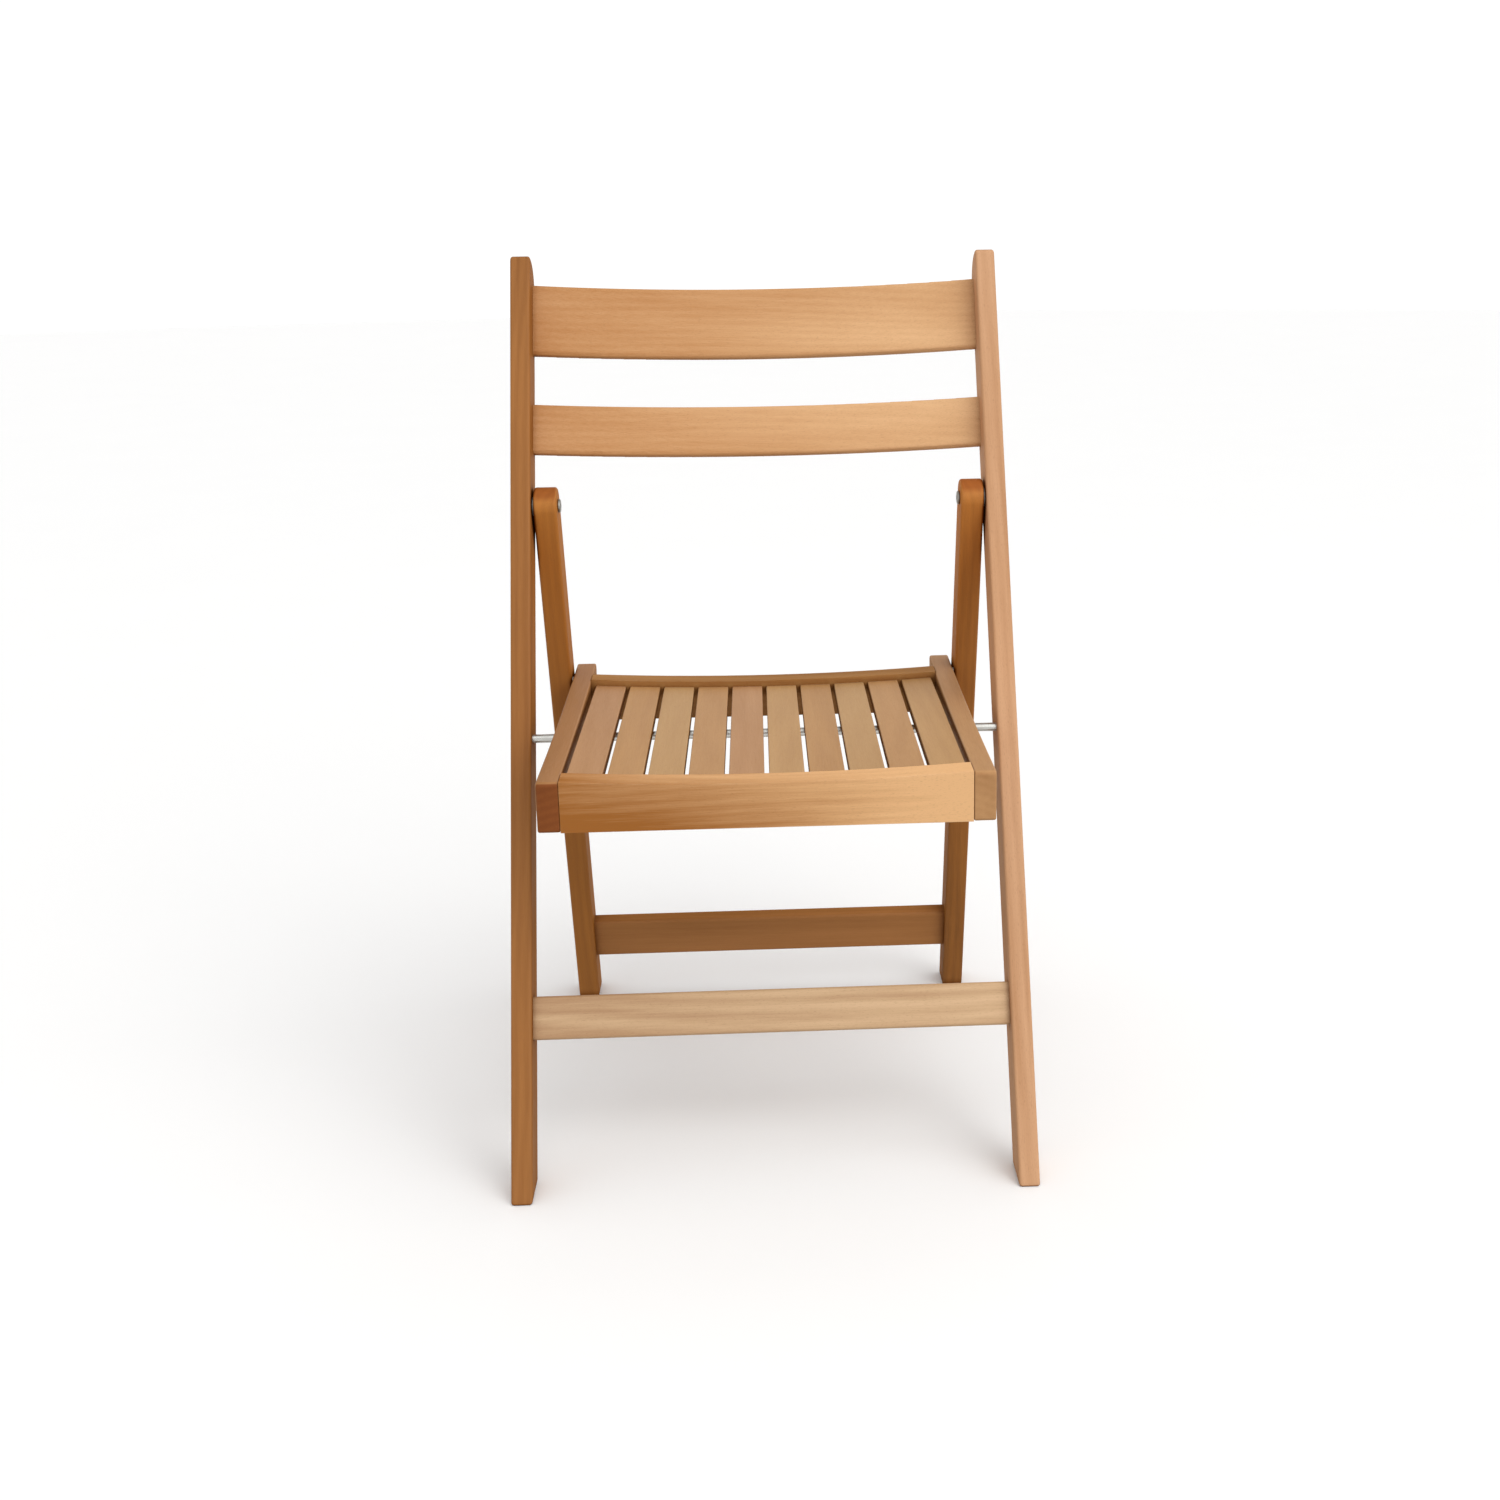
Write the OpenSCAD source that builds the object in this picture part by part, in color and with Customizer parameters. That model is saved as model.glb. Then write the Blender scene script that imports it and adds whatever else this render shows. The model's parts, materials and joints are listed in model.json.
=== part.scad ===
// Folding chair of solid wood with a slatted seat.
// Two long posts carry the back and stand on the floor in front. A frame of two rear legs
// turns on bolts near the middle of the posts. The seat turns on a steel rod that joins the
// posts, and a pin on each side of the seat runs in a groove in each rear leg.
// Heights z are above the floor, depths y are behind the front edge of the front feet,
// until placed() moves the chair so that the origin is below the middle of its bounding box.

/* [Posts] */
// Width of the chair over the two posts
chair_w = 472; // [440:1:500]
// Thickness of a post, side to side
post_t = 19; // [17:0.5:22]
// Depth of a post, front face to back face
post_d = 40; // [38:1:44]
// Length of a post along its front face
post_len = 893; // [860:1:900]
// Backward lean of the posts from upright, in degrees
post_lean = 24.5; // [24:0.1:25]
// Radius of the front corner at the top of a post
post_top_front_r = 6; // [3:1:8]
// Radius of the rear corner at the top of a post
post_top_rear_r = 26; // [10:1:28]

/* [Back slats] */
// Thickness of a back slat
back_slat_t = 10; // [8:0.5:12]
// Depth of a slat's front face behind the post's front face, at the slat's ends
back_slat_set = 24; // [20:1:26]
// How far the middle of a slat bows backwards
back_slat_bow = 18; // [10:1:24]
// Radius of a slat's long edges
back_slat_r = 4; // [2:0.5:4]
// Distance along the posts to the lower edge of the top slat
top_slat_at = 800; // [790:1:805]
// Height of the top slat
top_slat_h = 72; // [60:1:75]
// Distance along the posts to the lower edge of the lower slat
low_slat_at = 700; // [695:1:715]
// Height of the lower slat
low_slat_h = 50; // [40:1:60]

/* [Stretchers] */
// Radius of the long edges of the stretchers
stretcher_r = 3; // [1:0.5:4]
// Height of the front stretcher
front_stretcher_h = 39; // [34:1:42]
// Thickness of the front stretcher
front_stretcher_t = 15; // [12:1:15]
// Depth of its front face behind the post's front face
front_stretcher_set = 8; // [4:1:8]
// Distance along the posts to its lower edge
front_stretcher_at = 144; // [130:1:148]
// Height of the rear stretcher
rear_stretcher_h = 46.5; // [34:0.5:48]
// Thickness of the rear stretcher
rear_stretcher_t = 16; // [12:1:18]
// Distance down the rear legs from the leg bolts to its upper edge
rear_stretcher_at = 504; // [480:1:520]

/* [Rear legs] */
// Thickness of a rear leg, side to side
leg_t = 22; // [17:0.5:22]
// Depth of a rear leg, front face to back face
leg_d = 36; // [36:1:40]
// Clear gap between a post and the rear leg inside it
leg_gap = 2; // [2:0.5:4]
// Backward slope of the open rear legs from upright, in degrees
leg_slope = 17; // [16.8:0.1:17.2]
// Distance along the posts to the leg bolts
bolt_at = 646; // [640:0.5:648]
// Depth of the leg bolts behind the post's front face
bolt_set = 20; // [19:0.5:21]

/* [Seat frame] */
// Clear gap between a rear leg and the seat rail inside it
rail_gap = 2; // [2:0.5:6]
// Thickness of a side rail
rail_t = 19; // [17:0.5:20]
// Height of a side rail at the front
rail_h = 44; // [40:1:46]
// Depth of the seat's front face ahead of the front feet
seat_overhang = 19; // [10:1:25]
// Length of a side rail
rail_len = 394; // [390:1:400]
// Height of the seat above the floor at the front
seat_z = 398; // [397:0.5:400]
// Rise of the side rails from front to back
rail_rise = 4.5; // [3:0.5:6]
// Sag of the side rails' upper edge between its ends
rail_sag = 2; // [1:0.5:3]
// Depth of the hollow across the seat
seat_dish = 5; // [3:0.5:6]
// Thickness of the front rail, front to back
front_rail_t = 27; // [22:1:30]
// Radius of a side rail's upper front corner
seat_nose_r = 4; // [3:0.5:6]
// Thickness of the rear rail, front to back
rear_rail_t = 22; // [18:1:24]
// Height of the rear rail
rear_rail_h = 42; // [36:1:44]
// Distance from the seat's front face to the rear rail's front face
rear_rail_at = 329; // [320:1:332]
// Height of the rear rail above the ends of the seat slats
rear_rail_proud = 6; // [4:0.5:8]

/* [Seat slats] */
// Number of seat slats
seat_slats = 10; // [8:1:10]
// Gap between two seat slats
seat_slat_gap = 4; // [4:0.5:6]
// Gap between an outer seat slat and the side rail
seat_side_gap = 4.5; // [3:0.5:6]
// Thickness of a seat slat
seat_slat_t = 9; // [8:0.5:9]

/* [Joints and hardware] */
// Diameter of the steel rod that the seat turns on
rod_d = 8; // [7:0.5:8]
// Distance along the posts to the rod
rod_at = 420; // [418:1:422]
// Depth of the rod behind the post's front face
rod_set = 12; // [11:0.5:13]
// Diameter of the seat's rear pins
pin_d = 6; // [5:0.5:6]
// Depth of the rear pins behind the front feet
pin_y = 336; // [335:0.5:337]
// Height of the rear pins above the floor
pin_z = 394.5; // [394:0.5:395]
// Diameter of a leg bolt's sleeve
sleeve_d = 8; // [7:0.5:9]
// Diameter of the heads on a leg bolt
head_d = 13; // [12:0.5:15]
// Diameter of the washer between a post and a rear leg
washer_d = 18; // [16:1:22]
// Diameter of the dowels in the seat frame
dowel_d = 8; // [6:1:8]

/* [Folding] */
// Angle that the seat turns from open to folded, in degrees
seat_fold = 112; // [111:0.5:113]
// Angle that the rear legs turn from open to folded, in degrees
leg_fold = 37.7; // [37:0.1:37.7]

/* [Hidden] */

fine = 64;        // facets of small rounds
very_fine = 1440; // facets of the long shallow curves
reach = 1000;     // longer than any part of the chair
overlap = 1;      // how far a cutter starts outside the wood

running_gap = 0.06; // radial play of a shaft in a bore it turns in
slip_gap = 0.05;    // radial play of a glued or pressed pin in its bore
joint_gap = 0.1;    // play around a tenon
part_gap = 0.3;     // play between two faces that turn against each other
groove_play = 0.4;  // radial play of a rear pin in its groove

tenon_len = 10;      // tenons of the slats and stretchers of the frames
tenon_shoulder = 8;  // height of the shoulder above and below a tenon
tenon_cheek = 4;     // wood left on each side of a stretcher's tenon
slat_tenon_len = 6;  // tenons of the seat slats
slat_tenon_t = 4;    // thickness of a seat slat's tenon
slat_shoulder = 2.5; // wood below a seat slat's tenon
end_wood = 4;        // wood left beyond the end of a blind bore
groove_depth = 8;    // depth of the groove in a rear leg
pin_grip = 14;       // length of a rear pin inside the rail
pin_reach = 6.5;     // length of a rear pin inside the groove
head_t = 2.4;        // thickness of a leg bolt's heads
head_sink = 2.6;     // depth of the pocket for the outer head
bolt_d = 6;          // the bolt inside the sleeve
bolt_wall = 10;      // how much shorter the bolt is than the sleeve
dowel_len = 34;      // length of a dowel
dowel_grip = 12;     // length of a dowel inside the side rail
dowel_spread = 10;   // offset of each dowel from the middle of the rail
rail_back_r = 5;     // radius of the rail's upper rear corner
rail_heel_r = 26;    // radius of the rail's lower rear corner
rail_toe_r = 3;      // radius of the rail's lower front corner
chamfer = 0.8;       // chamfer on rod, pin and dowel ends
path_steps = 24;     // steps along a computed curve
corner_steps = 12;   // steps around a computed corner

post_in = chair_w / 2 - post_t;
leg_out = post_in - leg_gap;
leg_in = leg_out - leg_t;
rail_out = leg_in - rail_gap;
rail_in = rail_out - rail_t;
seat_slat_w = (2 * rail_in - 2 * seat_side_gap - (seat_slats - 1) * seat_slat_gap) / seat_slats;
slat_front_y = front_rail_t - seat_overhang;
slat_back_y = rear_rail_at - seat_overhang;
rear_rail_top = rail_top((rear_rail_at + rear_rail_t) / rail_len);
slat_drop = rear_rail_proud - (rear_rail_top - seat_z);
slat_slope = atan(slat_drop / (slat_back_y - slat_front_y));
foot_cut = post_d * tan(post_lean);

bolt = from_post(bolt_at, bolt_set);
rod = from_post(rod_at, rod_set);
pin = [pin_y, pin_z];

leg_len = (bolt[1] + leg_d / 2 * sin(leg_slope)) / cos(leg_slope);
back_y = bolt[0] + leg_len * sin(leg_slope) + leg_d / 2 * cos(leg_slope);
mid_y = (back_y - seat_overhang) / 2;

back_slat_r_in = (pow(post_in, 2) + pow(back_slat_bow, 2)) / (2 * back_slat_bow);
dish_r = (pow(rail_in, 2) + pow(seat_dish, 2)) / (2 * seat_dish);

wood = "#c98f58";
dark_wood = "#a8713b";
pale_wood = "#d2a57d";
steel = "#c8c8c6";

// [depth, height] of the point s along a post and n behind its front face
function from_post(s, n) = [
    s * sin(post_lean) + n * cos(post_lean),
    s * cos(post_lean) - n * sin(post_lean)
];

// v turned by a degrees
function turned(v, a) = [v[0] * cos(a) - v[1] * sin(a), v[0] * sin(a) + v[1] * cos(a)];

// Where a rear pin is in the rear leg's own frame when the chair is folded by the share t
function pin_path(t) =
    turned(rod + turned(pin - rod, -seat_fold * t) - bolt, leg_fold * t - leg_slope);

// Unit vector across the pin's path
function across_path(t) =
    let (d = pin_path(t + 0.01) - pin_path(t - 0.01)) [-d[1], d[0]] / norm(d);

// Points on a round corner
function corner(x, y, r, from, to) =
    [for (i = [0:corner_steps]) let (a = from + (to - from) * i / corner_steps)
        [x + r * cos(a), y + r * sin(a)]];

// Height of the side rails' upper edge at the share u of their length
function rail_top(u) = seat_z + rail_rise * u * u - rail_sag * 4 * u * (1 - u);

// Depth of the hollow across the seat at x
function dish_at(x) = seat_dish - dish_r + sqrt(pow(dish_r, 2) - x * x);

// Side of a seat slat's middle line, counted from the left
function slat_x(i) =
    -rail_in + seat_side_gap + seat_slat_w / 2 + (i - 1) * (seat_slat_w + seat_slat_gap);

// Moves the chair so that the origin is below the middle of its bounding box
module placed() {
    translate([0, -mid_y, 0]) children();
}

// Puts a piece into the posts' frame: y behind the front face, z along the post
module in_post() {
    rotate([-post_lean, 0, 0]) children();
}

// Puts a piece into the rear legs' frame: origin on the bolts, z up the leg
module in_leg() {
    translate([0, bolt[0], bolt[1]]) rotate([leg_slope, 0, 0]) children();
}

// Extrudes a side view, drawn as depth and height, from x = from to x = to
module side_view(from, to) {
    translate([from, 0, 0]) rotate([90, 0, 90]) linear_extrude(to - from) children();
}

// A bar's section with eased corners, centred
module eased_section(w, d, r) {
    square([w - 2 * r, d], center = true);
    square([w, d - 2 * r], center = true);
    for (sx = [-1, 1], sy = [-1, 1])
        translate([sx * (w / 2 - r), sy * (d / 2 - r)]) circle(r, $fn = fine);
}

// A round bar along X with chamfered ends
module round_bar(from, to, d) {
    translate([from, 0, 0]) rotate([0, 90, 0]) {
        translate([0, 0, chamfer]) cylinder(h = to - from - 2 * chamfer, d = d, $fn = fine);
        cylinder(h = chamfer, d1 = d - 2 * chamfer, d2 = d, $fn = fine);
        translate([0, 0, to - from - chamfer])
            cylinder(h = chamfer, d1 = d, d2 = d - 2 * chamfer, $fn = fine);
    }
}

// A plain bore along X
module bore(from, to, d) {
    translate([from, 0, 0]) rotate([0, 90, 0]) cylinder(h = to - from, d = d, $fn = fine);
}

// Everything above the floor
module above_floor() {
    translate([-reach, -reach, 0]) cube(2 * reach);
}

// Side view of a post, with its rounded top
module post_outline() {
    front_r = post_top_front_r;
    rear_r = post_top_rear_r;
    polygon(concat(
        [[0, -foot_cut], [post_d, -foot_cut]],
        corner(post_d - rear_r, post_len - rear_r, rear_r, 0, 90),
        corner(front_r, post_len - front_r, front_r, 90, 180)
    ));
}

// Tenons of a back slat, larger by play on every side
module back_slat_tenons(at, h, play) {
    cheek = back_slat_t / 6;
    t = back_slat_t - 2 * cheek;
    for (side = [-1, 1])
        translate([side * (post_in + tenon_len / 2 - overlap), back_slat_set + cheek + t / 2, at + h / 2])
            cube([
                tenon_len + 2 * overlap + 2 * play,
                t + 2 * play,
                h - 2 * tenon_shoulder + 2 * play
            ], center = true);
}

// Tenons of a stretcher whose ends are at x = end on both sides
module stretcher_tenons(end, front, at, t, h, play) {
    for (side = [-1, 1])
        translate([side * (end + tenon_len / 2 - overlap), front + t / 2, at + h / 2])
            cube([
                tenon_len + 2 * overlap + 2 * play,
                t - 2 * tenon_cheek + 2 * play,
                h - 2 * tenon_shoulder + 2 * play
            ], center = true);
}

module front_stretcher_tenons(play) {
    stretcher_tenons(post_in, front_stretcher_set, front_stretcher_at,
        front_stretcher_t, front_stretcher_h, play);
}

module rear_stretcher_tenons(play) {
    stretcher_tenons(leg_in, -rear_stretcher_t / 2, -rear_stretcher_at - rear_stretcher_h,
        rear_stretcher_t, rear_stretcher_h, play);
}

module post() {
    difference() {
        intersection() {
            in_post() side_view(post_in, post_in + post_t) post_outline();
            above_floor();
        }
        in_post() {
            back_slat_tenons(top_slat_at, top_slat_h, joint_gap);
            back_slat_tenons(low_slat_at, low_slat_h, joint_gap);
            front_stretcher_tenons(joint_gap);
            translate([0, rod_set, rod_at])
                bore(post_in - overlap, chair_w / 2 - end_wood + joint_gap, rod_d + 2 * slip_gap);
            translate([0, bolt_set, bolt_at]) {
                bore(post_in - overlap, chair_w / 2, sleeve_d + 2 * slip_gap);
                bore(chair_w / 2 - head_sink, chair_w / 2 + overlap, head_d + 2 * joint_gap);
            }
        }
    }
}

// A back slat is a bowed board, concave towards the sitter
module back_slat(at, h) {
    half_angle = asin(post_in / back_slat_r_in) + 1;
    in_post() {
        intersection() {
            translate([0, back_slat_set + back_slat_bow - back_slat_r_in, at])
                rotate([0, 0, 90 - half_angle])
                    rotate_extrude(angle = 2 * half_angle, $fn = very_fine)
                        translate([back_slat_r_in + back_slat_t / 2, h / 2])
                            eased_section(back_slat_t, h, back_slat_r);
            translate([-post_in, -reach, 0]) cube([2 * post_in, 2 * reach, reach]);
        }
        back_slat_tenons(at, h, 0);
    }
}

module front_stretcher_board() {
    in_post() {
        translate([-post_in, front_stretcher_set + front_stretcher_t / 2,
            front_stretcher_at + front_stretcher_h / 2])
            rotate([90, 0, 90]) linear_extrude(2 * post_in)
                eased_section(front_stretcher_t, front_stretcher_h, stretcher_r);
        front_stretcher_tenons(0);
    }
}

module rear_stretcher_board() {
    in_leg() {
        translate([-leg_in, 0, -rear_stretcher_at - rear_stretcher_h / 2])
            rotate([90, 0, 90]) linear_extrude(2 * leg_in)
                eased_section(rear_stretcher_t, rear_stretcher_h, stretcher_r);
        rear_stretcher_tenons(0);
    }
}

// The groove follows the pin's computed path through the whole fold
module groove_outline() {
    r = pin_d / 2 + groove_play;
    shares = [for (i = [0:path_steps]) i / path_steps];
    polygon(concat(
        [for (t = shares) pin_path(t) + r * across_path(t)],
        [for (t = shares) pin_path(1 - t) - r * across_path(1 - t)]
    ));
    for (t = [0, 1]) translate(pin_path(t)) circle(r, $fn = fine);
}

module rear_leg() {
    difference() {
        intersection() {
            in_leg() side_view(leg_in, leg_out) {
                circle(leg_d / 2, $fn = fine);
                translate([-leg_d / 2, -leg_len]) square([leg_d, leg_len]);
            }
            above_floor();
        }
        in_leg() {
            bore(leg_in - overlap, leg_out + overlap, sleeve_d + 2 * running_gap);
            rear_stretcher_tenons(joint_gap);
            side_view(leg_in - overlap, leg_in + groove_depth) groove_outline();
        }
    }
}

// Side view of a side rail: rounded nose, sagging upper edge, rounded heel
module rail_outline() {
    y0 = -seat_overhang;
    y1 = y0 + rail_len;
    z1 = rail_top(1);
    z_low = seat_z - rail_h;
    u0 = seat_nose_r / rail_len;
    u1 = 1 - rail_back_r / rail_len;
    polygon(concat(
        corner(y0 + rail_toe_r, z_low + rail_toe_r, rail_toe_r, 270, 180),
        corner(y0 + seat_nose_r, rail_top(u0) - seat_nose_r, seat_nose_r, 180, 90),
        [for (i = [1:path_steps - 1]) let (u = u0 + (u1 - u0) * i / path_steps)
            [y0 + u * rail_len, rail_top(u)]],
        corner(y1 - rail_back_r, rail_top(u1) - rail_back_r, rail_back_r, 90, 0),
        corner(y1 - rail_heel_r, z_low + rail_heel_r, rail_heel_r, 0, -90)
    ));
}

// Dowels of the seat frame, larger by play all round
module dowels(play, length_play) {
    front_y = slat_front_y - front_rail_t / 2;
    rear_y = slat_back_y + rear_rail_t / 2;
    for (side = [0, 1], y = [front_y, rear_y], up = [-1, 1])
        mirror([side, 0, 0])
            translate([0, y, seat_z - rail_h / 2 + up * dowel_spread])
                round_bar(rail_in - dowel_len + dowel_grip - length_play,
                    rail_in + dowel_grip + length_play, dowel_d + 2 * play);
}

module seat_rail() {
    difference() {
        side_view(rail_in, rail_out) rail_outline();
        translate([0, rod[0], rod[1]])
            bore(rail_in - overlap, rail_out + overlap, rod_d + 2 * running_gap);
        translate([0, pin[0], pin[1]])
            bore(rail_out - pin_grip, rail_out + overlap, pin_d + 2 * slip_gap);
        dowels(slip_gap, joint_gap);
    }
}

// The hollow across the seat, as a cutter whose lowest line is at the height low_z
module dish_cutter(low_z) {
    translate([0, reach, low_z + dish_r])
        rotate([90, 0, 0]) cylinder(h = 2 * reach, r = dish_r, $fn = very_fine);
}

// Tenons at both ends of the seat slats
module seat_slat_tenons(i, play) {
    w = seat_slat_w - 2 * slat_tenon_t;
    low = seat_z - dish_at(slat_x(i)) - seat_slat_t + slat_shoulder;
    for (end = [0, 1])
        translate([
            slat_x(i) - w / 2 - play,
            (end == 0 ? slat_front_y - slat_tenon_len : slat_back_y - overlap) - play,
            low - end * slat_drop - play
        ])
            cube([w + 2 * play, slat_tenon_len + overlap + 2 * play, slat_tenon_t + 2 * play]);
}

// A seat slat is flat, tilted to follow the hollow and falling a little towards the back
module seat_slat(i) {
    left = slat_x(i) - seat_slat_w / 2;
    right = slat_x(i) + seat_slat_w / 2;
    intersection() {
        translate([0, slat_front_y, seat_z]) rotate([-slat_slope, 0, 0])
            translate([0, reach, 0]) rotate([90, 0, 0]) linear_extrude(2 * reach)
                polygon([
                    [left, -dish_at(left) - seat_slat_t],
                    [right, -dish_at(right) - seat_slat_t],
                    [right, -dish_at(right)],
                    [left, -dish_at(left)]
                ]);
        translate([-reach, slat_front_y, 0]) cube([2 * reach, slat_back_y - slat_front_y, reach]);
    }
    seat_slat_tenons(i, 0);
}

module front_rail() {
    difference() {
        translate([-rail_in, -seat_overhang, seat_z - rail_h])
            cube([2 * rail_in, front_rail_t, rail_h]);
        dish_cutter(seat_z - seat_dish);
        for (i = [1:seat_slats]) seat_slat_tenons(i, joint_gap);
        dowels(slip_gap, joint_gap);
    }
}

module rear_rail() {
    difference() {
        translate([-rail_in, slat_back_y, rear_rail_top - rear_rail_h])
            cube([2 * rail_in, rear_rail_t, rear_rail_h]);
        dish_cutter(rear_rail_top - seat_dish);
        for (i = [1:seat_slats]) seat_slat_tenons(i, joint_gap);
        dowels(slip_gap, joint_gap);
    }
}

module left_post() {
    color(dark_wood) placed() mirror([1, 0, 0]) post();
}

module right_post() {
    color(pale_wood) placed() post();
}

module top_back_slat() {
    color(pale_wood) placed() back_slat(top_slat_at, top_slat_h);
}

module lower_back_slat() {
    color(pale_wood) placed() back_slat(low_slat_at, low_slat_h);
}

module front_stretcher() {
    color(pale_wood) placed() front_stretcher_board();
}

module seat_rod() {
    half = chair_w / 2 - end_wood;
    color(steel) placed() translate([0, rod[0], rod[1]]) round_bar(-half, half, rod_d);
}

module left_rear_leg() {
    color(dark_wood) placed() mirror([1, 0, 0]) rear_leg();
}

module right_rear_leg() {
    color(dark_wood) placed() rear_leg();
}

module rear_stretcher() {
    color(dark_wood) placed() rear_stretcher_board();
}

module left_seat_rail() {
    color(wood) placed() mirror([1, 0, 0]) seat_rail();
}

module right_seat_rail() {
    color(wood) placed() seat_rail();
}

module front_seat_rail() {
    color(pale_wood) placed() front_rail();
}

module rear_seat_rail() {
    color(wood) placed() rear_rail();
}

module seat_slat_board(i) {
    color(wood) placed() seat_slat(i);
}

module seat_pin() {
    translate([0, pin[0], pin[1]])
        round_bar(rail_out - pin_grip + joint_gap, leg_in + pin_reach, pin_d);
}

module left_seat_pin() {
    color(steel) placed() mirror([1, 0, 0]) seat_pin();
}

module right_seat_pin() {
    color(steel) placed() seat_pin();
}

module seat_frame_dowels() {
    color(pale_wood) placed() dowels(0, 0);
}

// Bolt with a flat head sunk in the post's outer face
module leg_bolt() {
    head_at = chair_w / 2 - head_sink;
    translate([0, bolt[0], bolt[1]]) {
        bore(head_at, head_at + head_t, head_d);
        bore(leg_in + bolt_wall, head_at + overlap, bolt_d);
    }
}

module left_leg_bolt() {
    color(steel) placed() mirror([1, 0, 0]) leg_bolt();
}

module right_leg_bolt() {
    color(steel) placed() leg_bolt();
}

// Nut whose long sleeve carries the rear leg; its flat head lies on the leg's inner face
module sleeve_nut() {
    head_from = leg_in - part_gap - head_t;
    sleeve_end = chair_w / 2 - head_sink - joint_gap;
    translate([0, bolt[0], bolt[1]])
        difference() {
            union() {
                bore(head_from, head_from + head_t, head_d);
                bore(head_from, sleeve_end, sleeve_d);
            }
            bore(leg_in + bolt_wall - overlap, sleeve_end + overlap, bolt_d + 2 * slip_gap);
        }
}

module left_sleeve_nut() {
    color(steel) placed() mirror([1, 0, 0]) sleeve_nut();
}

module right_sleeve_nut() {
    color(steel) placed() sleeve_nut();
}

module leg_washer() {
    translate([0, bolt[0], bolt[1]])
        difference() {
            bore(leg_out + part_gap, post_in, washer_d);
            bore(leg_out, post_in + overlap, sleeve_d + 2 * slip_gap);
        }
}

module left_leg_washer() {
    color(steel) placed() mirror([1, 0, 0]) leg_washer();
}

module right_leg_washer() {
    color(steel) placed() leg_washer();
}

left_post();
right_post();
top_back_slat();
lower_back_slat();
front_stretcher();
seat_rod();
left_rear_leg();
right_rear_leg();
rear_stretcher();
left_seat_rail();
right_seat_rail();
front_seat_rail();
rear_seat_rail();
for (i = [1:seat_slats])
    seat_slat_board(i);
left_seat_pin();
right_seat_pin();
seat_frame_dowels();
left_leg_bolt();
right_leg_bolt();
left_sleeve_nut();
right_sleeve_nut();
left_leg_washer();
right_leg_washer();
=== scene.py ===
"""Looks of the folding chair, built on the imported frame. All lengths are in metres."""

import json
import math
import random

import bmesh
import bpy
from mathutils import Matrix, Vector


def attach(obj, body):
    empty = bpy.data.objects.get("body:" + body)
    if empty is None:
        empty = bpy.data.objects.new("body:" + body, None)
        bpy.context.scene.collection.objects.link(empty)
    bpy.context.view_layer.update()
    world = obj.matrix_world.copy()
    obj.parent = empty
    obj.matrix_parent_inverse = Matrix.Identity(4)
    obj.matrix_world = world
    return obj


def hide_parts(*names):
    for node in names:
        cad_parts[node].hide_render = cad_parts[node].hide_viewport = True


MM = 0.001

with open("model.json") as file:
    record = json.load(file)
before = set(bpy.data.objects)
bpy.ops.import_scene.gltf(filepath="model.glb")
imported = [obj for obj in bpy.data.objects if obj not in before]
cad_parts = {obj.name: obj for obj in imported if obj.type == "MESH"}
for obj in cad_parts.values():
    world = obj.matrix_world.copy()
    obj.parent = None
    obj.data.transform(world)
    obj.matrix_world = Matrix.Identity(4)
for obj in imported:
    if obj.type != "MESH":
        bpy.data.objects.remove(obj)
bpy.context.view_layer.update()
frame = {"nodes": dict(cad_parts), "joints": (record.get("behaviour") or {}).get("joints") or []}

scene = bpy.context.scene
scene.view_settings.view_transform = "Standard"
scene.view_settings.look = "None"
draw = random.Random(11)

# ---------------------------------------------------------------- sizes

POST_LEAN = math.radians(24.5)
LEG_SLOPE = math.radians(17.0)
PIVOTS = {joint["name"]: Vector(joint["pos_m"]) for joint in frame["joints"]}
LEG_PIVOT = PIVOTS["rear_legs_fold"]
SIDES = ("left", "right")
SEAT_SLATS = sorted(name for name in frame["nodes"] if name.startswith("seat_slat"))

# Radii of the rounded edges
POST_EDGE = 2.6 * MM
RAIL_EDGE = 1.8 * MM
FRONT_RAIL_EDGE = 4.0 * MM
SLAT_EDGE = 1.1 * MM

# ---------------------------------------------------------------- node helpers


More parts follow.
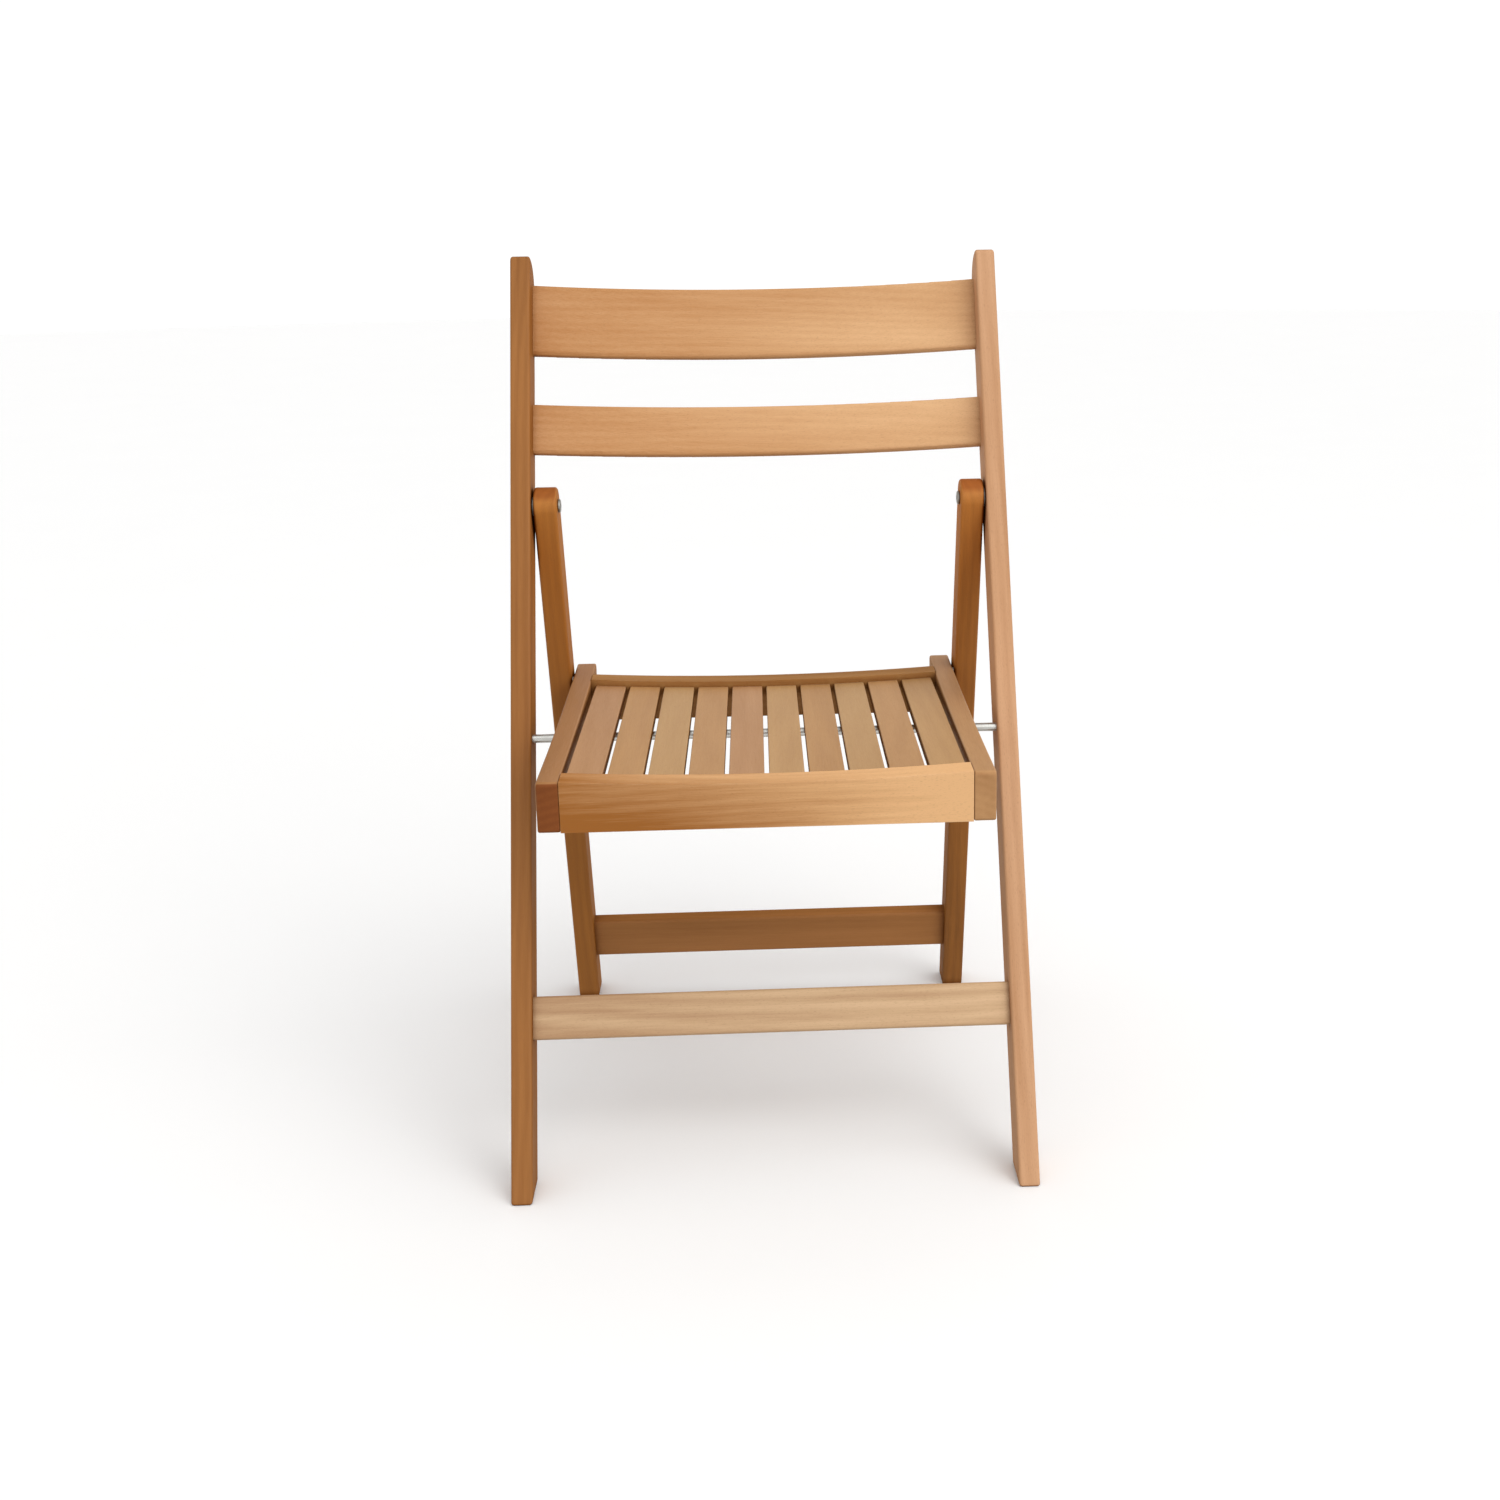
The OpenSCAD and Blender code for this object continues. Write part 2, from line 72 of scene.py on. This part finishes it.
class Graph:
    """A node tree with short calls for the nodes that the materials share."""

    def __init__(self, tree):
        self.tree = tree

    def node(self, kind, **settings):
        node = self.tree.nodes.new(kind)
        for key, value in settings.items():
            setattr(node, key, value)
        return node

    def put(self, socket, value):
        if isinstance(value, bpy.types.NodeSocket):
            self.tree.links.new(value, socket)
        else:
            socket.default_value = value

    def fill(self, node, **values):
        """Fills the inputs named by the keys, with spaces for underscores."""
        for key, value in values.items():
            self.put(node.inputs[key.replace("_", " ")], value)
        return node

    def math(self, operation, a, b=0.0, clamp=False):
        node = self.node("ShaderNodeMath", operation=operation, use_clamp=clamp)
        self.put(node.inputs[0], a)
        self.put(node.inputs[1], b)
        return node.outputs[0]

    def plus(self, a, b):
        return self.math("ADD", a, b)

    def minus(self, a, b):
        return self.math("SUBTRACT", a, b)

    def times(self, a, b):
        return self.math("MULTIPLY", a, b)

    def vector(self, operation, *values):
        node = self.node("ShaderNodeVectorMath", operation=operation)
        for socket, value in zip(node.inputs, values):
            self.put(socket, value)
        return node.outputs["Value" if operation == "DOT_PRODUCT" else "Vector"]

    def parts(self, vector):
        """The outputs X, Y and Z of a vector."""
        node = self.node("ShaderNodeSeparateXYZ")
        self.put(node.inputs[0], vector)
        return node.outputs

    def turned(self, vector, kind, angles, place=(0.0, 0.0, 0.0)):
        node = self.node("ShaderNodeMapping", vector_type=kind)
        self.fill(node, Vector=vector, Rotation=angles)
        if kind == "POINT":
            self.fill(node, Location=place)
        return node.outputs[0]

    def noise(self, vector, scale, detail=2.0, rough=0.5, output="Fac"):
        node = self.node("ShaderNodeTexNoise")
        stretched = self.vector("MULTIPLY", vector, scale)
        return self.fill(node, Vector=stretched, Scale=1.0, Detail=detail, Roughness=rough).outputs[output]

    def ramp(self, value, low, high, bottom=0.0, top=1.0):
        node = self.node("ShaderNodeMapRange", interpolation_type="SMOOTHSTEP")
        self.fill(node, Value=value, From_Min=low, From_Max=high, To_Min=bottom, To_Max=top)
        return node.outputs["Result"]

    def mix(self, factor, a, b, blend="MIX"):
        node = self.node("ShaderNodeMix", data_type="RGBA", blend_type=blend)
        self.put(node.inputs[0], factor)
        self.put(node.inputs[6], a)
        self.put(node.inputs[7], b)
        return node.outputs[2]

    def bump(self, height, strength, distance):
        node = self.node("ShaderNodeBump")
        return self.fill(node, Strength=strength, Distance=distance, Height=height).outputs[0]


def new_material(name):
    """A material with its graph, its shader and the outputs of its texture coordinates."""
    material = bpy.data.materials.new(name)
    material.use_nodes = True
    g = Graph(material.node_tree)
    return material, g, material.node_tree.nodes["Principled BSDF"], g.node("ShaderNodeTexCoord").outputs


# ---------------------------------------------------------------- timber

# Noise scales per metre: twice across the grain, then along it
DRIFT_SCALE = (9.0, 9.0, 2.6)
BROAD_SCALE = (15.0, 15.0, 2.4)
STREAK_SCALE = (170.0, 170.0, 5.0)
FIBRE_SCALE = (1500.0, 1500.0, 34.0)
FLECK_SCALE = (2300.0, 2300.0, 300.0)
PORE_SCALE = (1900.0, 1900.0, 1900.0)
WEAR_SCALE = (60.0, 60.0, 22.0)
RING_SCALE = 44.0
# How far the rings wander across the grain
DRIFT = (0.020, 0.020, 0.0)
# Shares of the figure in the tone, which goes from light at 0 to dark at 1
MIDDLE_TONE = 0.45
RING_SHARE = 0.20
BROAD_SHARE = 1.30
STREAK_SHARE = 0.75
FIBRE_SHARE = 0.40

FLECK_BROWN = (0.24, 0.10, 0.035, 1.0)
END_LIGHT = (0.58, 0.35, 0.18, 1.0)
END_DARK = (0.48, 0.26, 0.12, 1.0)
PORE_BROWN = (0.40, 0.23, 0.12, 1.0)
BARE_WOOD = (0.86, 0.64, 0.42, 1.0)
# Dark brown of the painted shade in the joints and gaps
PAINTED_SHADE_BROWN = (0.30, 0.17, 0.08, 1.0)
WORN_WIDTH = 1.6 * MM
# Reach of the painted shade in the joints and gaps
PAINTED_SHADE_REACH = 14.0 * MM


def timber_group():
    """Wood seen in a board's own frame, with the grain along Z.

    It has rings, streaks, fibre, flecks, end grain, worn edges, painted shade in the joints and gaps, and a
    painted light shift of its tone.
    """
    group = bpy.data.node_groups.new("timber", "ShaderNodeTree")
    sockets = {
        "INPUT": {
            "Grain": "Vector",
            "Facing": "Vector",
            "Light": "Color",
            "Dark": "Color",
            "Figure": "Float",
            "Shift": "Float",
            "Cut": "Float",
        },
        "OUTPUT": {"Color": "Color", "Roughness": "Float", "Height": "Float", "Gloss": "Float"},
    }
    for way, kinds in sockets.items():
        for name, kind in kinds.items():
            group.interface.new_socket(name, in_out=way, socket_type="NodeSocket" + kind)
    g = Graph(group)
    given = g.node("NodeGroupInput").outputs
    result = g.node("NodeGroupOutput")
    grain = given["Grain"]
    facing = g.parts(given["Facing"])

    # The rings wander a little along the board, so that they run out in long points.
    drift = g.vector("SUBTRACT", g.noise(grain, DRIFT_SCALE, 1.0, output="Color"), (0.5, 0.5, 0.5))
    rings = g.node("ShaderNodeTexWave", wave_type="RINGS", rings_direction="Z", wave_profile="SIN")
    g.fill(rings, Vector=g.vector("MULTIPLY_ADD", drift, DRIFT, grain), Scale=RING_SCALE)
    g.fill(rings, Distortion=1.2, Detail=2.0, Detail_Scale=0.25)
    ring = rings.outputs["Fac"]

    broad = g.noise(grain, BROAD_SCALE)
    streak = g.noise(grain, STREAK_SCALE, 3.0, 0.6)
    fibre = g.noise(grain, FIBRE_SCALE, 2.0, 0.6)
    fleck = g.ramp(g.noise(grain, FLECK_SCALE, 1.0), 0.60, 0.70)

    tone = g.times(g.minus(ring, 0.5), g.times(given["Figure"], RING_SHARE))
    tone = g.plus(tone, g.times(g.minus(broad, 0.5), BROAD_SHARE))
    tone = g.plus(tone, g.times(g.times(g.minus(streak, 0.5), given["Figure"]), STREAK_SHARE))
    tone = g.plus(tone, g.times(g.minus(fibre, 0.5), FIBRE_SHARE))
    # Painted light and shade: the tone shifts lighter or darker with the board's place.
    tone = g.plus(tone, given["Shift"])
    tone = g.math("ADD", tone, MIDDLE_TONE, clamp=True)
    colour = g.mix(tone, given["Light"], given["Dark"])
    colour = g.mix(g.times(fleck, 0.22), colour, FLECK_BROWN)

    # The cut ends drink in the varnish: darker, with open pores.
    end = g.ramp(g.math("ABSOLUTE", facing["Z"]), 0.55, 0.88)
    pores = g.ramp(g.noise(grain, PORE_SCALE, 1.0), 0.52, 0.66)
    end_tone = g.mix(g.times(ring, 0.25), END_LIGHT, END_DARK)
    end_tone = g.mix(g.times(pores, 0.20), end_tone, PORE_BROWN)
    colour = g.mix(g.times(end, given["Cut"]), colour, g.mix(1.0, colour, end_tone, "MULTIPLY"))

    # Handling rubs the finish thin on the edges.
    soft = g.fill(g.node("ShaderNodeBevel", samples=4), Radius=WORN_WIDTH)
    geometry = g.node("ShaderNodeNewGeometry")
    same = g.vector("DOT_PRODUCT", soft.outputs[0], geometry.outputs["Normal"])
    patchy = g.ramp(g.noise(grain, WEAR_SCALE), 0.42, 0.62)
    worn = g.times(g.ramp(same, 0.999, 0.90), patchy)
    colour = g.mix(g.times(worn, 0.30), colour, g.mix(0.55, colour, BARE_WOOD))

    # Painted shade: ambient occlusion darkens the joints and the narrow gaps between the boards towards a
    # dark brown.
    shade_occlusion = g.fill(g.node("ShaderNodeAmbientOcclusion", samples=6), Distance=PAINTED_SHADE_REACH)
    painted_shade = g.ramp(shade_occlusion.outputs["AO"], 0.80, 0.30)
    colour = g.mix(g.times(painted_shade, 0.80), colour, g.mix(1.0, colour, PAINTED_SHADE_BROWN, "MULTIPLY"))

    # The narrow side faces and the joints are polished less than the faces.
    side = g.ramp(g.math("ABSOLUTE", facing["X"]), 0.75, 0.95, 1.0, 0.1)
    gloss = g.times(g.times(side, g.minus(1.0, painted_shade)), 0.30)

    rough = g.plus(g.times(fibre, 0.16), 0.46)
    rough = g.plus(rough, g.times(end, 0.16))
    rough = g.plus(rough, g.times(worn, 0.12))
    height = g.plus(g.times(fibre, 0.7), g.times(fleck, -0.5))
    height = g.plus(height, g.times(streak, 0.8))
    height = g.plus(height, g.times(g.times(pores, end), -0.9))
    g.fill(result, Color=colour, Roughness=rough, Height=height, Gloss=gloss)
    return group


TIMBER = timber_group()
# Turns of the row frame that bring each kind of board's grain onto Z
UP_POST = (POST_LEAN, 0.0, 0.0)
UP_LEG = (-LEG_SLOPE, 0.0, 0.0)
FRONT_TO_BACK = (math.radians(90.0), 0.0, 0.0)
SIDE_TO_SIDE = (0.0, math.radians(-90.0), 0.0)
# How far a board's middle lies from the heart of its tree, and where along the tree it was cut
HEART_NEAR, HEART_FAR = 0.045, 0.120
ALONG_TREE = 4.0
# How far a board's grain may run out of line
RUN_OUT = math.radians(1.8)
# Height at which the painted shade along Z changes nothing
PAINTED_SHADE_RISE_FROM = 0.300


def srgb(text):
    """A colour written as on the web, as the linear values that a shader takes."""
    parts = [int(text[i : i + 2], 16) / 255.0 for i in (1, 3, 5)]
    linear = [c / 12.92 if c <= 0.04045 else ((c + 0.055) / 1.055) ** 2.4 for c in parts]
    return (*linear, 1.0)


def wood(name, grain, tones, figure=1.0, painted_light_lean=0.0, ends=0.0, painted_shade_rise=0.0, cut=0.7):
    """Varnished wood whose grain, turned by the angles grain, runs along Z.

    Each board is cut from its own place. tones are its light and its dark colour. painted_light_lean paints
    light and shade as a steady darkening along X, and painted_shade_rise as one upwards, both per metre.
    ends paints shade darkening it towards both ends, and cut is how much darker its end grain is.
    """
    material, g, shader, place = new_material(name)
    away = draw.uniform(HEART_NEAR, HEART_FAR)
    about = draw.uniform(0.0, 2.0 * math.pi)
    tilt = [angle + draw.uniform(-RUN_OUT, RUN_OUT) for angle in grain]
    heart = (away * math.cos(about), away * math.sin(about), draw.uniform(-ALONG_TREE, ALONG_TREE))

    spot = g.parts(place["Object"])
    # Painted light: lean makes the board steadily lighter or darker along X.
    painted_light_shift = g.times(spot["X"], painted_light_lean)
    # Painted shade: ends darkens the board towards both ends.
    painted_light_shift = g.plus(painted_light_shift, g.times(g.math("POWER", g.math("ABSOLUTE", spot["X"]), 4.0), ends))
    # Painted light and shade: rise makes the board darker or lighter with height.
    painted_light_shift = g.plus(painted_light_shift, g.times(g.minus(spot["Z"], PAINTED_SHADE_RISE_FROM), painted_shade_rise))
    timber = g.node("ShaderNodeGroup", node_tree=TIMBER)
    g.fill(
        timber,
        Grain=g.turned(place["Object"], "POINT", tilt, heart),
        Facing=g.turned(place["Normal"], "VECTOR", grain),
        Light=srgb(tones[0]),
        Dark=srgb(tones[1]),
        Figure=figure,
        Shift=painted_light_shift,
        Cut=cut,
    )
    g.fill(
        shader,
        Base_Color=timber.outputs["Color"],
        Roughness=timber.outputs["Roughness"],
        Specular_IOR_Level=timber.outputs["Gloss"],
        Normal=g.bump(timber.outputs["Height"], 0.35, 0.08 * MM),
        IOR=1.42,
    )
    return material


# ---------------------------------------------------------------- steel look

TARNISH = (0.36, 0.34, 0.31, 1.0)
MARK_GREY = (0.45, 0.44, 0.43, 1.0)
TARNISH_SCALE = (70.0, 70.0, 70.0)


def steel(name, colour, rough, brush):
    """Bright metal with fine turning marks: brush gives how fine the marks are along X, Y and Z."""
    material, g, shader, place = new_material(name)
    marks = g.noise(place["Object"], brush, 2.0, 0.6)
    dull = g.ramp(g.noise(place["Object"], TARNISH_SCALE, 3.0), 0.40, 0.75)
    tone = g.mix(g.times(dull, 0.45), srgb(colour), TARNISH)
    tone = g.mix(g.times(marks, 0.25), tone, MARK_GREY)
    spread = g.plus(g.times(marks, 0.14), g.times(dull, 0.12))
    g.fill(shader, Base_Color=tone, Roughness=g.plus(spread, rough), Metallic=1.0)
    g.fill(shader, Normal=g.bump(marks, 0.25, 0.03 * MM))
    return material


# ---------------------------------------------------------------- finer meshes

STEEP = math.radians(38.0)
# Length over which a slat's edge is a long one
LONG = 0.2
TOUCH = 0.01 * MM
WELD = 0.03 * MM
FLAT = math.radians(0.4)
SMOOTH_UNDER = math.radians(35.0)
FLAT_WEIGHT = 80


def sharp_edges(bm):
    """Edges that stick out and are steep enough to be rounded."""
    return [
        edge
        for edge in bm.edges
        if edge.is_manifold and edge.is_convex and edge.calc_face_angle() > STEEP
    ]


def long_edges(bm):
    return [edge for edge in sharp_edges(bm) if edge.calc_length() > LONG]


def touching_groups(edges):
    """The edges in groups that hang together."""
    left = set(edges)
    groups = []
    while left:
        group = set()
        fresh = [left.pop()]
        while fresh:
            edge = fresh.pop()
            group.add(edge)
            new = left & {other for vert in edge.verts for other in vert.link_edges}
            left -= new
            fresh.extend(new)
        groups.append(group)
    return groups


def outer_edges(bm):
    """Sharp outer edges of a board, without those of its bores, mortises and grooves, which stay crisp."""
    limits = []
    for axis in (1, 2):
        span = [vert.co[axis] for vert in bm.verts]
        limits += [(axis, min(span)), (axis, max(span))]

    def reaches(group):
        places = [vert.co for edge in group for vert in edge.verts]
        return any(abs(co[axis] - limit) < TOUCH for co in places for axis, limit in limits)

    sharp = sharp_edges(bm)
    outer = {edge for group in touching_groups(sharp) if reaches(group) for edge in group}
    return [edge for edge in sharp if edge in outer]


def new_piece(name, bm):
    """An object made of the mesh in bm, which is used up."""
    mesh = bpy.data.meshes.new(name)
    bm.to_mesh(mesh)
    bm.free()
    piece = bpy.data.objects.new(name, mesh)
    scene.collection.objects.link(piece)
    return piece


def smooth(piece):
    """Round faces shade smoothly and flat faces stay flat."""
    piece.data.polygons.foreach_set("use_smooth", [True] * len(piece.data.polygons))
    piece.data.set_sharp_from_angle(angle=SMOOTH_UNDER)
    weighted = piece.modifiers.new("flat_faces", "WEIGHTED_NORMAL")
    weighted.keep_sharp = True
    weighted.weight = FLAT_WEIGHT


def stand_in(node, body, bm):
    """A piece made of the mesh in bm, which rides on a body and stands for a CAD node."""
    bmesh.ops.recalc_face_normals(bm, faces=bm.faces)
    piece = new_piece(node + "_fine", bm)
    smooth(piece)
    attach(piece, body)
    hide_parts(node)
    return piece


def finer(node, body, pick, radius, segments=4):
    """A copy of a CAD node with its picked edges rounded, which stands for the node."""
    bm = bmesh.new()
    bm.from_mesh(frame["nodes"][node].data)
    bmesh.ops.remove_doubles(bm, verts=bm.verts, dist=WELD)
    bmesh.ops.dissolve_limit(
        bm, angle_limit=FLAT, verts=bm.verts, edges=bm.edges, use_dissolve_boundaries=False
    )
    bmesh.ops.bevel(
        bm,
        geom=pick(bm),
        offset=radius,
        offset_type="OFFSET",
        segments=segments,
        profile=0.5,
        affect="EDGES",
        clamp_overlap=True,
        harden_normals=False,
    )
    return stand_in(node, body, bm)


def paint(piece, material):
    piece.data.materials.clear()
    piece.data.materials.append(material)


def paint_node(name, material):
    """Paints a CAD node that keeps its own mesh."""
    paint(frame["nodes"][name], material)
    smooth(frame["nodes"][name])


# ---------------------------------------------------------------- front frame

POST_TONES = {"left": ("#a86f38", "#835020"), "right": ("#d2a37c", "#b38158")}
BACK_TONES = ("#dfb283", "#b07640")
FRONT_STRETCHER_TONES = ("#d5b38c", "#a47954")

for side in SIDES:
    post = finer(side + "_post", "front_frame", outer_edges, POST_EDGE)
    paint(post, wood(side + "_post_wood", UP_POST, POST_TONES[side]))
# Painted light and shade: the back slats get lighter towards the right and darker towards both ends beside
# the posts.
for name in ("top_back_slat", "lower_back_slat"):
    look = wood(name + "_wood", SIDE_TO_SIDE, BACK_TONES, 0.35, painted_light_lean=-1.6, ends=30.0)
    paint_node(name, look)
# Painted light: the front stretcher gets lighter towards the right.
look = wood("front_stretcher_wood", SIDE_TO_SIDE, FRONT_STRETCHER_TONES, 1.1, painted_light_lean=-0.5)
paint_node("front_stretcher", look)

# ---------------------------------------------------------------- rear legs

# The rear legs and the rear stretcher are darker partly in their own wood and partly by painted shade.
LEG_TONES_WITH_PAINTED_SHADE = {"left": ("#b67430", "#875320"), "right": ("#bb7632", "#7c4d1e")}
# Painted shade: the rear legs get darker downwards, under the seat.
LEG_PAINTED_SHADE_RISE = {"left": -0.8, "right": -1.3}
REAR_STRETCHER_TONES_WITH_PAINTED_SHADE = ("#b17743", "#895828")

for side in SIDES:
    leg = finer(side + "_rear_leg", "rear_legs", outer_edges, POST_EDGE)
    look = wood(side + "_rear_leg_wood", UP_LEG, LEG_TONES_WITH_PAINTED_SHADE[side], 0.6, painted_shade_rise=LEG_PAINTED_SHADE_RISE[side])
    paint(leg, look)
# Painted light: the rear stretcher gets lighter towards the right.
look = wood("rear_stretcher_wood", SIDE_TO_SIDE, REAR_STRETCHER_TONES_WITH_PAINTED_SHADE, 0.7, painted_light_lean=-0.5)
paint_node("rear_stretcher", look)

# ---------------------------------------------------------------- seat

RAIL_TONES = {"left": ("#ae7c4d", "#8a5a2b"), "right": ("#c29566", "#9f7044")}
RAIL_CUT = {"left": 1.0, "right": 0.15}
FRONT_RAIL_TONES = ("#e6b581", "#9c6024")
REAR_RAIL_TONES = ("#b7874f", "#8f5f2e")
SLAT_TONES = (
    ("#c2946a", "#aa7b4e"),
    ("#c39966", "#ab8050"),
    ("#be905c", "#a57748"),
    ("#c29a68", "#ac8252"),
    ("#c09260", "#a77a4b"),
)
DOWEL_TONES = ("#d8b58c", "#c39a6c")

for side in SIDES:
    rail = finer(side + "_seat_rail", "seat", outer_edges, RAIL_EDGE)
    look = wood(side + "_seat_rail_wood", FRONT_TO_BACK, RAIL_TONES[side], 0.6, cut=RAIL_CUT[side])
    paint(rail, look)
rail = finer("front_seat_rail", "seat", sharp_edges, FRONT_RAIL_EDGE)
# Painted light: the front rail gets much lighter towards the right.
look = wood("front_seat_rail_wood", SIDE_TO_SIDE, FRONT_RAIL_TONES, 0.45, painted_light_lean=-3.1)
paint(rail, look)
rail = finer("rear_seat_rail", "seat", sharp_edges, RAIL_EDGE)
paint(rail, wood("rear_seat_rail_wood", SIDE_TO_SIDE, REAR_RAIL_TONES, 0.7))
for number, name in enumerate(SEAT_SLATS):
    slat = finer(name, "seat", long_edges, SLAT_EDGE, 3)
    tones = SLAT_TONES[number % len(SLAT_TONES)]
    paint(slat, wood(name + "_wood", FRONT_TO_BACK, tones, 0.6))
paint_node("seat_frame_dowels", wood("dowel_wood", SIDE_TO_SIDE, DOWEL_TONES, 0.5))

# ---------------------------------------------------------------- steel parts

turned_steel = steel("turned_steel", "#c4c4bf", 0.20, (2600.0, 60.0, 60.0))
zinc = steel("zinc_plate", "#8b877e", 0.34, (300.0, 900.0, 900.0))
for name in ("seat_rod", "left_seat_pin", "right_seat_pin"):
    paint_node(name, turned_steel)
for side in SIDES:
    paint_node(side + "_leg_washer", zinc)

# Rings of the turned fasteners in mm: distance from the chair's middle, radius, and whether the ring is
# hexagonal, with the radius then measured to the flats
HEX = True
BOLT_RINGS = (
    (203.0, 2.5),
    (203.5, 3.0),
    (233.4, 3.0),
    (233.4, 6.1),
    (233.8, 6.5),
    (234.5, 6.5),
    (235.2, 6.2),
    (235.65, 5.4),
    (235.8, 4.4),
    (235.8, 2.2, HEX),
    (234.3, 2.2, HEX),
)
NUT_RINGS = (
    (192.0, 2.2, HEX),
    (190.3, 2.2, HEX),
    (190.3, 4.4),
    (190.45, 5.4),
    (190.9, 6.2),
    (191.6, 6.5),
    (192.3, 6.5),
    (192.7, 6.1),
    (192.7, 4.0),
    (232.9, 4.0),
    (233.3, 3.6),
    (233.3, 3.05),
    (202.0, 3.05),
)
AROUND = 48


def turned_piece(node, side, rings):
    """A fastener on the rear legs' pivot, made of rings that are joined in a row and closed at both ends."""
    sign = -1.0 if side == "left" else 1.0
    bm = bmesh.new()
    rows = []
    for x, radius, *hexagonal in rings:
        row = []
        for step in range(AROUND):
            angle = 2.0 * math.pi * step / AROUND
            off_flat = angle % (math.pi / 3.0) - math.pi / 6.0
            r = radius / math.cos(off_flat) if hexagonal else radius
            y = LEG_PIVOT.y + r * MM * math.cos(angle)
            z = LEG_PIVOT.z + r * MM * math.sin(angle)
            row.append(bm.verts.new((sign * x * MM, y, z)))
        rows.append(row)
    for near, far in zip(rows, rows[1:]):
        for i in range(AROUND):
            j = (i + 1) % AROUND
            bm.faces.new((near[i], near[j], far[j], far[i]))
    bm.faces.new(rows[0])
    bm.faces.new(rows[-1])
    paint(stand_in(node, "front_frame", bm), zinc)


for side in SIDES:
    turned_piece(side + "_leg_bolt", side, BOLT_RINGS)
    turned_piece(side + "_sleeve_nut", side, NUT_RINGS)

# ---------------------------------------------------------------- stage

FLOOR_RADIUS = 14.0
FLOOR_WHITE = (1.0, 1.0, 1.0, 1.0)
FLOOR_SHADE = (0.985, 0.985, 0.985, 1.0)
KEY_PLACE = Vector((1.7, -2.2, 2.2))
KEY_AIM = Vector((0.0, 0.0, 0.4))
SUN_WAY = Vector((-0.42, 0.55, -0.72))


def floor():
    """A pale floor, level with the soles."""
    bm = bmesh.new()
    bmesh.ops.create_circle(bm, cap_ends=True, radius=FLOOR_RADIUS, segments=96)
    piece = new_piece("floor", bm)
    material, g, shader, place = new_material("floor_paper")
    tone = g.noise(place["Object"], (3.0, 3.0, 3.0), 3.0)
    g.fill(shader, Base_Color=g.mix(tone, FLOOR_WHITE, FLOOR_SHADE), Roughness=0.9)
    piece.data.materials.append(material)
    piece.visible_diffuse = False


def lamp(name, kind, place, way, **settings):
    """A lamp that shines along way."""
    light = bpy.data.lights.new(name, kind)
    for key, value in settings.items():
        setattr(light, key, value)
    holder = bpy.data.objects.new(name, light)
    scene.collection.objects.link(holder)
    holder.location = place
    holder.rotation_euler = way.to_track_quat("-Z", "Y").to_euler()


def studio():
    """A white room: bright walls all round, a softer ceiling and dim light from below."""
    world = bpy.data.worlds.new("studio")
    scene.world = world
    world.use_nodes = True
    g = Graph(world.node_tree)
    height = g.parts(g.node("ShaderNodeTexCoord").outputs["Generated"])["Z"]
    ceiling = g.ramp(height, 0.20, 0.55, 1.06, 0.66)
    below = g.ramp(height, -0.20, -0.08, 0.36, 1.0)
    background = world.node_tree.nodes["Background"]
    g.fill(background, Color=(1.0, 1.0, 1.0, 1.0), Strength=g.times(ceiling, below))


floor()
lamp(
    "key",
    "AREA",
    KEY_PLACE,
    KEY_AIM - KEY_PLACE,
    shape="RECTANGLE",
    size=1.4,
    size_y=1.4,
    energy=14.0,
    color=(1.0, 0.985, 0.96),
)
lamp(
    "daylight",
    "SUN",
    (0.0, 0.0, 0.0),
    SUN_WAY,
    energy=1.25,
    angle=math.radians(75.0),
    color=(1.0, 0.99, 0.975),
)
studio()

# ---------------------------------------------------------------- camera

CAMERA_PLACE = (-0.00229, -1.69386, 0.85288)
CAMERA_YAW = math.radians(2.587)
CAMERA_PITCH = math.radians(-14.576)
CAMERA_ROLL = math.radians(-0.792)

lens = bpy.data.cameras.new("photo_view")
lens.sensor_width = 36.0
lens.lens = 43.857
lens.shift_x = -0.0612
lens.shift_y = -0.0451
camera = bpy.data.objects.new("photo_view", lens)
scene.collection.objects.link(camera)
forward = Vector(
    (
        math.sin(CAMERA_YAW) * math.cos(CAMERA_PITCH),
        math.cos(CAMERA_YAW) * math.cos(CAMERA_PITCH),
        math.sin(CAMERA_PITCH),
    )
)
level = Vector((math.cos(CAMERA_YAW), -math.sin(CAMERA_YAW), 0.0))
upright = level.cross(forward)
right = level * math.cos(CAMERA_ROLL) + upright * math.sin(CAMERA_ROLL)
up = upright * math.cos(CAMERA_ROLL) - level * math.sin(CAMERA_ROLL)
turn = Matrix((right, up, -forward)).transposed().to_4x4()
camera.matrix_world = Matrix.Translation(CAMERA_PLACE) @ turn
scene.camera = camera
